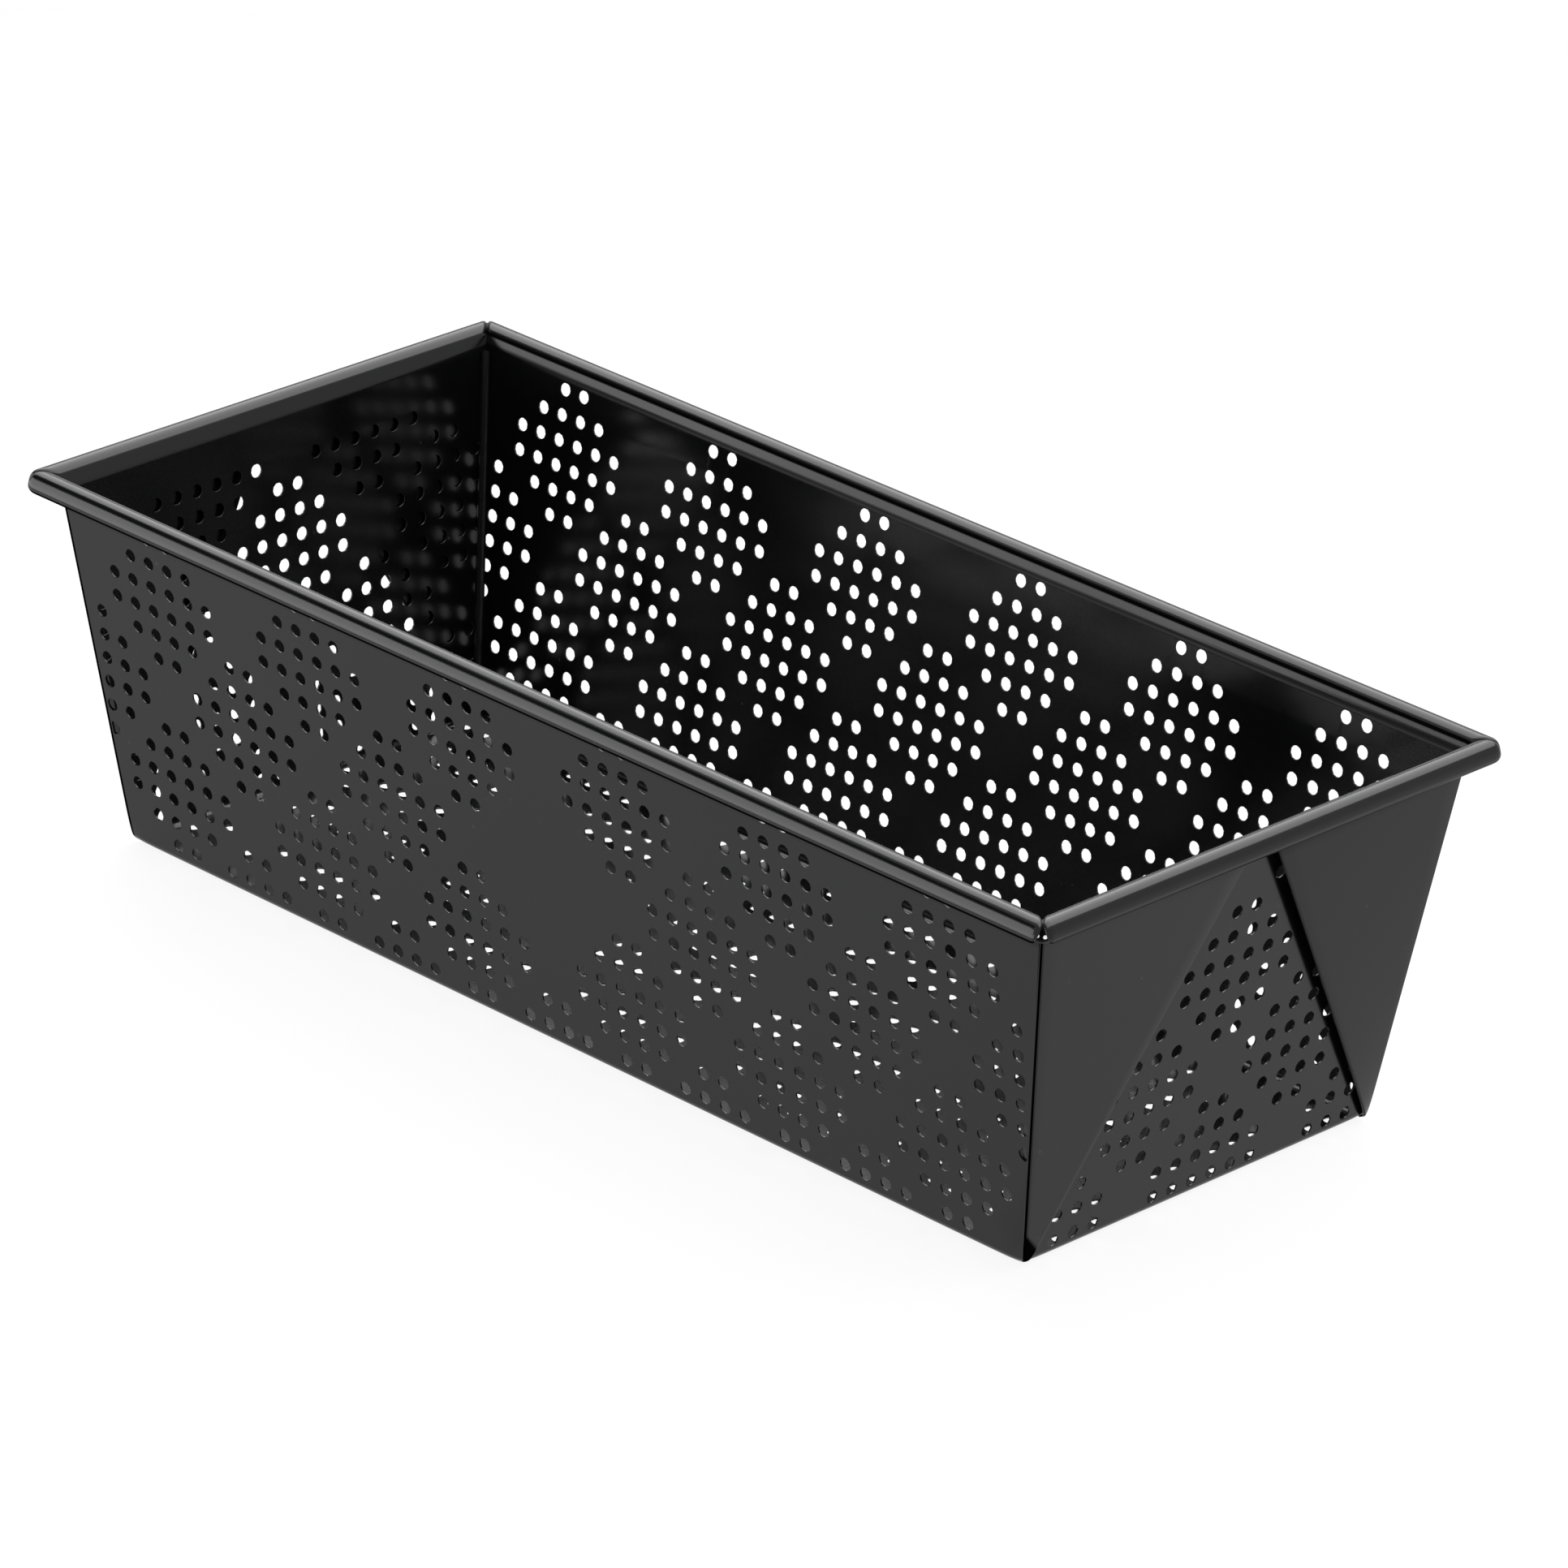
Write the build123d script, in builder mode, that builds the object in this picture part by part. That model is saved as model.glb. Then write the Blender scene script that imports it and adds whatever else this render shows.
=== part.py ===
from build123d import *
import math
import os

# Perforated loaf pan: one folded sheet, split here at its bend lines, and a rim wire.
# Lengths are millimetres and angles are degrees.
# The origin is the middle of the underside, +Z is up and the long side runs along X.

os.makedirs("parts", exist_ok=True)

# Driving dimensions

rim_length = 300.0  # over the rolled rims, along X
rim_width = 135.7  # over the rolled rims, along Y
pan_height = 86.0  # underside to the top of the rolled rims
wall_lean = 7.7  # every wall leans out from upright
sheet = 0.4  # sheet thickness
bend_radius = 1.5  # inside of the bends round the floor
wire_diameter = 4.5  # rim wire
wire_play = 0.1  # between the wire and the roll around it
wire_end_gap = 1.2  # between the two wire ends, behind the back rim
rim_step = 1.0  # from the inner wall face out to the roll
flare_turn = 20.0  # bend of the sheet outwards under the roll
curl_gap = 0.6  # between the end of the roll and the flare
mitre_gap = 0.5  # slit between two rolls at a corner
rim_corner_radius = 3.2  # outer corners of the rolls, in plan

hole_diameter = 3.0
hole_pitch = 5.75  # one square lattice over the whole flat sheet
punch_shift = 0.8  # the lattice is this far off the middle, towards the back
corner_land = 0.8  # least distance from a hole's centre to a corner line
foot_land = 6.0  # least distance from a hole's centre to a bottom corner
end_rim_land = 4.0  # band without holes under the two end rims
cluster_period = 8  # lattice steps from one diamond of holes to the next
cluster_reach = 3  # size of a diamond in lattice steps

fold_play = 0.1  # slit between the two layers of a corner pleat
pleat_spring = 1.2  # the pleats stand off the end walls by this turn
pleat_overhang = 0.5  # how far a fold passes the ideal fold line
pleat_top_gap = 0.4  # between a pleat and the rim above it
pleat_corner_radius = 0.7  # outer rounding down the upright corners
fold_round_share = 0.96  # how much of the folded edge is rounded

# Derived dimensions

lean_sin = math.sin(math.radians(wall_lean))
lean_cos = math.cos(math.radians(wall_lean))
flare_sin = math.sin(math.radians(flare_turn))
flare_cos = math.cos(math.radians(flare_turn))
hole_radius = hole_diameter / 2
wire_radius = wire_diameter / 2
roll_inner = wire_radius + wire_play
roll_outer = roll_inner + sheet

floor_turn = 90 - wall_lean
bend_outer = bend_radius + sheet
bend_tangent = bend_outer * math.tan(math.radians(floor_turn / 2))
bend_length = math.radians(floor_turn) * (bend_radius + sheet / 2)
bend_saving = 2 * bend_tangent - bend_length

# Middle of a roll, out from the wall's outer face and up along the wall
roll_out = roll_outer + rim_step - sheet
roll_level = pan_height - roll_outer
roll_up = (roll_level + roll_out * lean_sin) / lean_cos
roll_reach = roll_out * lean_cos + roll_up * lean_sin
corner_reach = roll_reach + roll_outer - rim_corner_radius

# Half sizes of the underside, out to the sharp base lines of the outer faces
half_length = rim_length / 2 - roll_outer - roll_reach
half_width = rim_width / 2 - roll_outer - roll_reach


def flare_foot(radius, face):
    # Height along the wall where a flare face meets the wall face below it
    climb = (roll_out - radius * flare_cos - face) * flare_cos / flare_sin
    return roll_up + radius * flare_sin - climb


inner_kink = flare_foot(roll_outer, -sheet)
wall_top = flare_foot(roll_inner, 0)

pleat_thick = 2 * sheet + fold_play
fold_round = pleat_thick / 2 * fold_round_share

# Places round the pan
# Each side is worked out as if it faced forwards, and then turned about the Z axis


def turned(x, y, z, turn):
    return Vector(x, y, z).rotate(Axis.Z, turn)


def face_plane(half, turn):
    # Outer wall face: x runs along the wall, y climbs it and z points outwards
    return Plane(
        origin=turned(0, -half, 0, turn),
        x_dir=turned(1, 0, 0, turn),
        z_dir=turned(0, -lean_cos, -lean_sin, turn),
    )


def section_plane(half, turn):
    # Across the wall: x points out of the outer face and y climbs the wall
    return Plane(
        origin=turned(0, -half, 0, turn),
        x_dir=turned(0, -lean_cos, -lean_sin, turn),
        z_dir=turned(-1, 0, 0, turn),
    )


def mitre_plane(half, run, hand, turn):
    # Upright plane through a corner line, facing away from the wall it trims
    return Plane(
        origin=turned(hand * run, -half, 0, turn),
        z_dir=turned(hand, 1, 0, turn),
    )


# Holes
# Diamonds of round holes on one lattice, punched before the sheet is folded


def nearest_middle(column, row, offset):
    # Middle of the diamond nearest to a lattice position, in lattice steps
    return [
        round((step - offset) / cluster_period) * cluster_period + offset
        for step in (column, row)
    ]


def diamond_middle(column, row):
    # Diamonds lie on two grids, the second one half a period further both ways
    for offset in (0, cluster_period // 2):
        middle_column, middle_row = nearest_middle(column, row, offset)
        if abs(column - middle_column) + abs(row - middle_row) <= cluster_reach:
            return middle_column, middle_row
    return None


def flat_place(column, row):
    return column * hole_pitch, row * hole_pitch + punch_shift


def lattice():
    # Every hole on the flat sheet, with the middle of its diamond
    widest = rim_length / 2 + pan_height
    count = math.ceil(widest / hole_pitch)
    places = []
    for i in range(-count, count):
        for j in range(-count, count):
            column = i + 1 / 2
            row = j + 1 / 2
            middle = diamond_middle(column, row)
            if middle is not None:
                places.append((flat_place(column, row), flat_place(*middle)))
    return places


def floor_holes():
    margin = bend_tangent + hole_radius
    return [
        (x, y)
        for (x, y), middle in lattice()
        if abs(x) < half_length - margin and abs(y) < half_width - margin
    ]


def on_wall(place, half, turn):
    # A place on the flat sheet, as along and up a folded wall
    x, y = place
    cos_turn = round(math.cos(math.radians(turn)))
    sin_turn = round(math.sin(math.radians(turn)))
    along = x * cos_turn + y * sin_turn
    up = x * sin_turn - y * cos_turn - half + bend_saving
    return along, up


def wall_holes(half, run, turn, rim_land):
    # The holes of one wall: diamonds whose middle is above it or beside it are left out
    found = []
    for place, middle in lattice():
        along, up = on_wall(place, half, turn)
        middle_along, middle_up = on_wall(middle, half, turn)
        if middle_up > wall_top:
            continue
        if abs(middle_along) > run + wall_top * lean_sin:
            continue
        if up - hole_radius < bend_tangent:
            continue
        if up + hole_radius > wall_top - rim_land:
            continue
        if abs(along) > run + up * lean_sin - corner_land:
            continue
        if math.hypot(run - abs(along), up) < foot_land:
            continue
        found.append((along, up))
    return found


def without_middle(places):
    # The middle diamond of the front wall is left bare
    middle_row = cluster_period * hole_pitch * 2 - punch_shift - half_width + bend_saving
    bare = (cluster_reach + 1) * hole_pitch
    return [(a, up) for a, up in places if abs(a) + abs(up - middle_row) > bare]


# Floor


def make_floor():
    with BuildPart() as floor_panel:
        with BuildSketch(Plane.XY):
            Rectangle(
                2 * (half_length - bend_tangent),
                2 * (half_width - bend_tangent),
            )
            with Locations(*floor_holes()):
                Circle(hole_radius, mode=Mode.SUBTRACT)
        extrude(amount=sheet)
    floor_panel.part.label = "floor_panel"
    export_step(floor_panel.part, "parts/floor_panel.step")


# Walls
# A flat perforated panel with the rounded bend that joins it to the floor


def make_wall(label, half, run, turn, holes):
    foot_half = run + bend_tangent * lean_sin
    top_half = run + wall_top * lean_sin
    with BuildPart() as wall:
        with BuildSketch(face_plane(half, turn)):
            with BuildLine():
                Polyline(
                    (-foot_half, bend_tangent),
                    (foot_half, bend_tangent),
                    (top_half, wall_top),
                    (-top_half, wall_top),
                    close=True,
                )
            make_face()
            with Locations(*holes):
                Circle(hole_radius, mode=Mode.SUBTRACT)
        extrude(amount=-sheet)
        with BuildSketch(section_plane(half, turn)):
            with BuildLine():
                outer = CenterArc(
                    (-bend_outer, bend_tangent), bend_outer, -floor_turn, floor_turn
                )
                inner = CenterArc(
                    (-bend_outer, bend_tangent), bend_radius, -floor_turn, floor_turn
                )
                Line(outer @ 0, inner @ 0)
                Line(outer @ 1, inner @ 1)
            make_face()
        extrude(amount=foot_half, both=True)
        for hand in (-1, 1):
            split(bisect_by=mitre_plane(half, run, hand, turn), keep=Keep.BOTTOM)
    wall.part.label = label
    export_step(wall.part, "parts/" + label + ".step")


# Rims
# The top of the sheet flares out and rolls over the wire, round the corners too


def rim_profile():
    # Up the flare, over the roll and under again, drawn across the wall
    middle = (roll_out, roll_up)
    end_share = (roll_inner - curl_gap) / roll_outer
    end_turn = math.degrees(math.acos(end_share))
    first = 180 - flare_turn
    sweep_turn = 360 - end_turn
    with BuildSketch() as profile:
        with BuildLine():
            outer = CenterArc(middle, roll_outer, first, -sweep_turn)
            inner = CenterArc(middle, roll_inner, first, -sweep_turn)
            Line(outer @ 1, inner @ 1)
            Polyline(
                outer @ 0,
                (-sheet, inner_kink),
                (-sheet, wall_top),
                (0, wall_top),
                inner @ 0,
            )
        make_face()
    return profile.sketch


def make_rim(label, half, run, turn):
    straight_half = run + corner_reach
    seam_reach = roll_reach - roll_outer
    with BuildPart() as rim:
        with BuildSketch(section_plane(half, turn)):
            add(rim_profile())
        extrude(amount=straight_half, both=True)
        for hand in (-1, 1):
            pivot = turned(hand * straight_half, -half - corner_reach, roll_level, turn)
            end_plane = section_plane(half, turn).offset(-hand * straight_half)
            with BuildSketch(end_plane):
                add(rim_profile())
                with Locations(end_plane.to_local_coords(pivot)):
                    Rectangle(
                        2 * rim_corner_radius,
                        4 * roll_outer,
                        rotation=wall_lean,
                        align=(Align.MIN, Align.CENTER),
                        mode=Mode.INTERSECT,
                    )
            revolve(axis=Axis(pivot, (0, 0, hand)), revolution_arc=45)
            split(bisect_by=mitre_plane(half, run, hand, turn), keep=Keep.BOTTOM)
            seam = turned(hand * (run + seam_reach), -half - seam_reach, 0, turn)
            with BuildSketch(Plane(seam, x_dir=turned(hand, -1, 0, turn))):
                Rectangle(4 * roll_outer, mitre_gap, align=(Align.MIN, Align.CENTER))
            extrude(amount=2 * pan_height, mode=Mode.SUBTRACT)
    rim.part.label = label
    export_step(rim.part, "parts/" + label + ".step")


def make_wire():
    # Straight runs between the corners, open behind the back rim, and round corners
    far_x = rim_length / 2 - roll_outer
    far_y = rim_width / 2 - roll_outer
    bend = rim_corner_radius - roll_outer
    with BuildPart() as rim_wire:
        for hand in (-1, 1):
            with BuildSketch(Plane.YZ):
                with Locations((hand * far_y, roll_level)):
                    Circle(wire_radius)
            extrude(amount=far_x - bend, both=True)
            with BuildSketch(Plane.XZ):
                with Locations((hand * far_x, roll_level)):
                    Circle(wire_radius)
            extrude(amount=far_y - bend, both=True)
        for x_hand in (-1, 1):
            for y_hand in (-1, 1):
                pivot = Vector(x_hand * (far_x - bend), y_hand * (far_y - bend), roll_level)
                across = Plane(pivot, x_dir=(x_hand, 0, 0), z_dir=(0, 1, 0))
                with BuildSketch(across):
                    with Locations((bend, 0)):
                        Circle(wire_radius)
                    Rectangle(
                        4 * wire_diameter,
                        4 * wire_diameter,
                        align=(Align.MIN, Align.CENTER),
                        mode=Mode.INTERSECT,
                    )
                revolve(axis=Axis(pivot, (0, 0, x_hand * y_hand)), revolution_arc=90)
        with Locations((0, far_y, roll_level)):
            Box(wire_end_gap, 2 * wire_diameter, 2 * wire_diameter, mode=Mode.SUBTRACT)
    rim_wire.part.label = "rim_wire"
    export_step(rim_wire.part, "parts/rim_wire.step")


# Corner pleats
# The spare corner of the sheet is folded flat over the outside of each end wall


def make_pleat(label, turn, hand):
    wall_face = face_plane(half_length, turn)
    foot = wall_face.from_local_coords(Vector(hand * half_width, 0, 0))
    head = wall_face.from_local_coords(
        Vector(hand * (half_width + wall_top * lean_sin), wall_top, 0)
    )
    corner_line = (head - foot).normalized()
    spring = hand * pleat_spring
    spring_axis = Axis(foot, corner_line)
    pleat_face = Plane(
        origin=foot,
        x_dir=wall_face.x_dir.rotate(spring_axis, spring),
        z_dir=wall_face.z_dir.rotate(spring_axis, spring),
    )
    side_face = face_plane(half_width, turn + hand * 90)
    side_cut = Plane(origin=foot, z_dir=side_face.z_dir)

    # The fold line makes half a right angle with the base line of the flat corner
    corner_turn = math.degrees(math.atan(lean_sin))
    fold_slope = math.tan(math.radians(45 - 2 * corner_turn))
    top = wall_top - pleat_top_gap
    over = pleat_thick

    def pleat_outline(low, high, corner_offset, fold_offset):
        # Corners of the triangle between the corner line and the fold line
        return (
            (hand * (low * lean_sin - corner_offset), low),
            (hand * (high * lean_sin - corner_offset), high),
            (hand * (fold_offset - high * fold_slope), high),
            (hand * (fold_offset - low * fold_slope), low),
        )

    with BuildPart() as pleat:
        with BuildSketch(pleat_face):
            with BuildLine():
                Polyline(
                    *pleat_outline(bend_tangent, top, -over, -pleat_overhang),
                    close=True,
                )
            make_face()
        extrude(amount=pleat_thick)
        split(bisect_by=side_cut, keep=Keep.BOTTOM)
        outside = pleat.part.faces().sort_by(Axis(foot, wall_face.z_dir))[-1]
        upright = outside.edges().sort_by_distance((head + foot) / 2)[0]
        fillet(upright, radius=pleat_corner_radius)
        fold_reach = top / 2 * fold_slope + pleat_overhang
        fold_middle = pleat_face.from_local_coords(
            Vector(-hand * fold_reach, top / 2, pleat_thick / 2)
        )
        fold_edges = pleat.part.edges().sort_by_distance(fold_middle)[0:2]
        fillet(fold_edges, radius=fold_round)
        with BuildSketch(pleat_face.offset(sheet)):
            with BuildLine():
                play_fold = 2 * sheet - pleat_overhang
                Polyline(
                    *pleat_outline(bend_tangent * 4, top, 2 * sheet, play_fold),
                    close=True,
                )
            make_face()
        extrude(amount=fold_play, mode=Mode.SUBTRACT)
    pleat.part.label = label
    export_step(pleat.part, "parts/" + label + ".step")


long_holes = wall_holes(half_width, half_length, 0, 0)
make_floor()
make_wall("front_wall", half_width, half_length, 0, without_middle(long_holes))
make_wall(
    "back_wall", half_width, half_length, 180, wall_holes(half_width, half_length, 180, 0)
)
make_wall(
    "right_end_wall",
    half_length,
    half_width,
    90,
    wall_holes(half_length, half_width, 90, end_rim_land),
)
make_wall(
    "left_end_wall",
    half_length,
    half_width,
    270,
    wall_holes(half_length, half_width, 270, end_rim_land),
)
make_rim("front_rim", half_width, half_length, 0)
make_rim("right_rim", half_length, half_width, 90)
make_rim("back_rim", half_width, half_length, 180)
make_rim("left_rim", half_length, half_width, 270)
make_wire()
make_pleat("front_right_pleat", 90, -1)
make_pleat("back_right_pleat", 90, 1)
make_pleat("back_left_pleat", 270, -1)
make_pleat("front_left_pleat", 270, 1)
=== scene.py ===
import bpy
import numpy as np
from mathutils import Matrix, Vector
from mathutils.geometry import delaunay_2d_cdt


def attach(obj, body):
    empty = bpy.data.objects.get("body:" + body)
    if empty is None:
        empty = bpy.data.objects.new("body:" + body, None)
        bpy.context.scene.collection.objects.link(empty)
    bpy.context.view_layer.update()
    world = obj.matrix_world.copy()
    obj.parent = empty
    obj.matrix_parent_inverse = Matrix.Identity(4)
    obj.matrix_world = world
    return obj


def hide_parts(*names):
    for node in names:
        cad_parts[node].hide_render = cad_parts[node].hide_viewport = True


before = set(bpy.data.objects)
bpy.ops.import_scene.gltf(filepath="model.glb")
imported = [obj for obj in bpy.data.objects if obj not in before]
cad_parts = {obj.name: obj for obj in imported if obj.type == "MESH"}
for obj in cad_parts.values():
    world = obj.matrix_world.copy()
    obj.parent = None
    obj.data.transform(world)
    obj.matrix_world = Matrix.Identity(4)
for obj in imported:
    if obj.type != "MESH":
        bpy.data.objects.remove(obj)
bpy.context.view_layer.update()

# Perforated loaf pan, in metres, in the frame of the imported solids
# Each solid of the folded sheet is replaced by a smooth mesh in the same place

print("frame loaded:", len(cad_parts), "nodes")

# Sizes that the pieces share, the same as the solids have

pan = {
    "rimLength": 0.3,
    "rimWidth": 0.1357,
    "height": 0.086,
    "lean": 7.7,  # degrees that the walls lean out
    "sheet": 0.0004,
    "bendRadius": 0.0015,  # inside the bends between floor and walls
    "rollRadius": 0.00275,
    "rimStep": 0.001,  # from a wall's inner face out to its roll
    "flareTurn": 20.0,  # degrees that the flare turns out from its wall
    "curlGap": 0.0006,  # between a roll's hidden edge and its flare
    "rimCorner": 0.0032,
    "pleatPlay": 0.0001,  # between a pleat's two layers
    "pleatTopGap": 0.0004,
}

leanSin, leanCos = np.sin(np.radians(pan["lean"])), np.cos(np.radians(pan["lean"]))
flareSin, flareCos = np.sin(np.radians(pan["flareTurn"])), np.cos(np.radians(pan["flareTurn"]))
sheet = pan["sheet"]
rollOuter = pan["rollRadius"]
rollInner = rollOuter - sheet
bendOuter = pan["bendRadius"] + sheet
bendTurn = np.radians(90 - pan["lean"])
bendTangent = bendOuter * np.tan(bendTurn / 2)  # from the corner of floor and wall to the bend's ends
bendSaving = 2 * bendTangent - bendTurn * (pan["bendRadius"] + sheet / 2)  # sheet that the round saves
rollOut = rollOuter + pan["rimStep"] - sheet
rollUp = (pan["height"] - rollOuter + rollOut * leanSin) / leanCos
rollReach = rollOut * leanCos + rollUp * leanSin
halfLength = pan["rimLength"] / 2 - rollOuter - rollReach
halfWidth = pan["rimWidth"] / 2 - rollOuter - rollReach
wallTop = rollUp + rollInner * flareSin - (rollOut - rollInner * flareCos) * flareCos / flareSin
pleatThick = 2 * sheet + pan["pleatPlay"]


def baseLine(turn):
    # How far the foot of a side lies from the pan's middle, and half its length
    return (halfWidth, halfLength) if turn in (0, 180) else (halfLength, halfWidth)


def turned(x, y, turn):
    # Points turned about Z by quarter turns
    c, s = round(np.cos(np.radians(turn))), round(np.sin(np.radians(turn)))
    return x * c - y * s, x * s + y * c


def placeOnWall(along, up, out, turn):
    # A wall point: along the wall, up its lean and out of its outer face, turned to its side of the pan
    half = baseLine(turn)[0]
    x, y = turned(along, -half - out * leanCos - up * leanSin, turn)
    z = up * leanCos - out * leanSin
    return np.stack([x, y, z + 0 * x], axis=-1)


# Meshes, and the four bottom corners that are pressed in a little

bottomCorners = {
    "nearPress": 0.0013,
    "press": 0.0006,
    "spread": 0.002,
    "meshSteps": np.array([0.001, 0.0025, 0.005, 0.009]),  # extra points beside each corner
}


def pressCorners(points):
    # Each point moves in along the corner's diagonal by the press times e to the minus its distance from
    # the corner's three outer planes over the spread
    lean = points[:, 2] * leanSin / leanCos
    inX = np.maximum(halfLength + lean + pleatThick - np.abs(points[:, 0]), 0)
    inY = np.maximum(halfWidth + lean - np.abs(points[:, 1]), 0)
    near = (points[:, 0] > 0) & (points[:, 1] < 0)
    most = np.where(near, bottomCorners["nearPress"], bottomCorners["press"])
    away = inX + inY + np.maximum(points[:, 2], 0)
    press = most * np.exp(-away / bottomCorners["spread"]) / np.sqrt(3)
    inward = np.stack([-np.sign(points[:, 0]), -np.sign(points[:, 1]), 1 + 0 * lean], axis=1)
    return points + press[:, None] * inward


def makePiece(name, node, points, faces, masks, sharpTurn):
    # One smooth mesh from a point array and a list of face arrays
    # The masks are point attributes from 0 to 1 that the coating reads
    points = pressCorners(points)
    corners = np.concatenate([face.ravel() for face in faces])
    sizes = np.concatenate([np.full(len(face), face.shape[1]) for face in faces])
    mesh = bpy.data.meshes.new(name)
    mesh.vertices.add(len(points))
    mesh.vertices.foreach_set("co", points.astype(np.float32).ravel())
    mesh.loops.add(len(corners))
    mesh.loops.foreach_set("vertex_index", corners.astype(np.int32))
    mesh.polygons.add(len(sizes))
    mesh.polygons.foreach_set("loop_start", (np.cumsum(sizes) - sizes).astype(np.int32))
    mesh.polygons.foreach_set("loop_total", sizes.astype(np.int32))
    mesh.update(calc_edges=True)
    mesh.validate()
    mesh.polygons.foreach_set("use_smooth", np.ones(len(mesh.polygons), dtype=bool))
    mesh.set_sharp_from_angle(angle=np.radians(sharpTurn))
    for mask, values in masks.items():
        layer = mesh.attributes.new(mask, "FLOAT", "POINT")
        layer.data.foreach_set("value", values.astype(np.float32).ravel())
    mesh.materials.append(blackCoat)
    piece = bpy.data.objects.new(name, mesh)
    bpy.context.scene.collection.objects.link(piece)
    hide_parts(node)
    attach(piece, "root")
    print(name, len(mesh.polygons), "faces")


def tubeFaces(rows, columns, flip):
    # Quads between the points of a grid stored row by row, the last row joined to the first
    row, column = np.meshgrid(np.arange(rows), np.arange(columns - 1), indexing="ij")
    here = row * columns + column
    there = (row + 1) % rows * columns + column
    quads = np.stack([here, there, there + 1, here + 1], axis=-1).reshape(-1, 4)
    return quads[:, ::-1] if flip else quads


def rodFaces(rows, columns, flip):
    # A tube with one polygon over each end
    first = np.arange(rows)[None, :] * columns
    last = first + columns - 1
    ends = [first, last[:, ::-1]] if flip else [first[:, ::-1], last]
    return [tubeFaces(rows, columns, flip)] + ends


def stripFaces(rows, columns, flip):
    # A tube whose section is a bent strip of sheet: the first half of its rows is one face, the other half
    # comes back along the other face, and quads between the two close its ends
    half = rows // 2
    ring = np.arange(rows) * columns
    back = ring[::-1]
    end = np.stack([ring[:half - 1], ring[1:half], back[1:half], back[:half - 1]], axis=1)
    farEnd = end + columns - 1
    ends = [end, farEnd[:, ::-1]] if flip else [end[:, ::-1], farEnd]
    return [tubeFaces(rows, columns, flip)] + ends


def joinParts(parts):
    # One point array and one face list from parts that each number their points from zero
    starts = np.cumsum([0] + [len(points) for points, faces in parts])
    joined = []
    for (points, faces), start in zip(parts, starts):
        joined += [face + start for face in faces]
    return np.concatenate([points for points, faces in parts]), joined


# Shader maths: a wrapped socket turns Python expressions into Math nodes


class Signal:
    def __init__(self, tree, socket=None):
        self.tree = tree
        self.socket = socket

    def node(self, kind, settings=None, inputs=None, output=0):
        # Any node: its settings first, then the values or links of its sockets
        made = self.tree.nodes.new(kind)
        for key, value in (settings or {}).items():
            setattr(made, key, value)
        for key, value in (inputs or {}).items():
            if isinstance(value, Signal):
                self.tree.links.new(value.socket, made.inputs[key])
            else:
                made.inputs[key].default_value = value
        return Signal(self.tree, made.outputs[output])

    def maths(self, operation, *values):
        return self.node("ShaderNodeMath", {"operation": operation}, dict(enumerate(values)))

    def __add__(self, other):
        return self.maths("ADD", self, other)

    def __radd__(self, other):
        return self.maths("ADD", other, self)

    def __mul__(self, other):
        return self.maths("MULTIPLY", self, other)

    def __rmul__(self, other):
        return self.maths("MULTIPLY", other, self)


def noise(place, scale, detail, rough=0.5):
    inputs = {"Vector": place, "Scale": scale, "Detail": detail, "Roughness": rough}
    return place.node("ShaderNodeTexNoise", {}, inputs)


def remap(value, span, result=(0.0, 1.0), blend="LINEAR"):
    # The value's span becomes the result, which is held beyond both ends
    spans = {"From Min": span[0], "From Max": span[1], "To Min": result[0], "To Max": result[1]}
    return value.node("ShaderNodeMapRange", {"interpolation_type": blend}, {"Value": value, **spans})


def mixColours(share, first, second):
    return share.node("ShaderNodeMix", {"data_type": "RGBA"}, {0: share, 6: first, 7: second}, 2)


def readMask(start, name):
    return start.node("ShaderNodeAttribute", {"attribute_name": name}, output="Fac")


def newMaterial(name):
    material = bpy.data.materials.new(name)
    material.use_nodes = True
    tree = material.node_tree
    return material, tree, tree.nodes["Principled BSDF"]


# Materials

coating = {
    "darkColour": (0.0010, 0.0011, 0.0012, 1),
    "paleColour": (0.0017, 0.0018, 0.0019, 1),
    "wornColour": (0.060, 0.060, 0.060, 1),
    # Colour and roughness of the painted shade: a matt near-black that the masks mix in
    "paintedShadeColour": (0.0010, 0.0010, 0.0010, 1),
    "paintedShadeRough": 0.9,
    "ior": 1.345,
    "clouds": {"scale": 22.0, "detail": 4.0, "rough": 0.55},
    "cloudSpan": (0.3, 0.7),
    "rough": (0.13, 0.19),  # from the clouds' low to their high
    "peel": {"scale": 900.0, "detail": 2.0},
    "peelShare": 0.7,  # of the bump
    "dustScale": 260.0,
    "dustSize": (0.11, 0.04),
    "dustAreas": {"scale": 70.0, "detail": 1.0},
    "dustSpan": (0.60, 0.70),
    "dustMost": 0.35,
    "dustShare": 0.6,  # of the bump
    "bumpDepth": 0.00002,
    "bumpStrength": 0.35,
    "wornPatches": {"scale": 500.0, "detail": 3.0},
    "wornSpan": (0.42, 0.68),
    "rimShadeSpan": (0.0762, 0.0795),  # heights between which the shade under the rims grows
    "rimShade": (0.0, 0.75),
}


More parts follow.
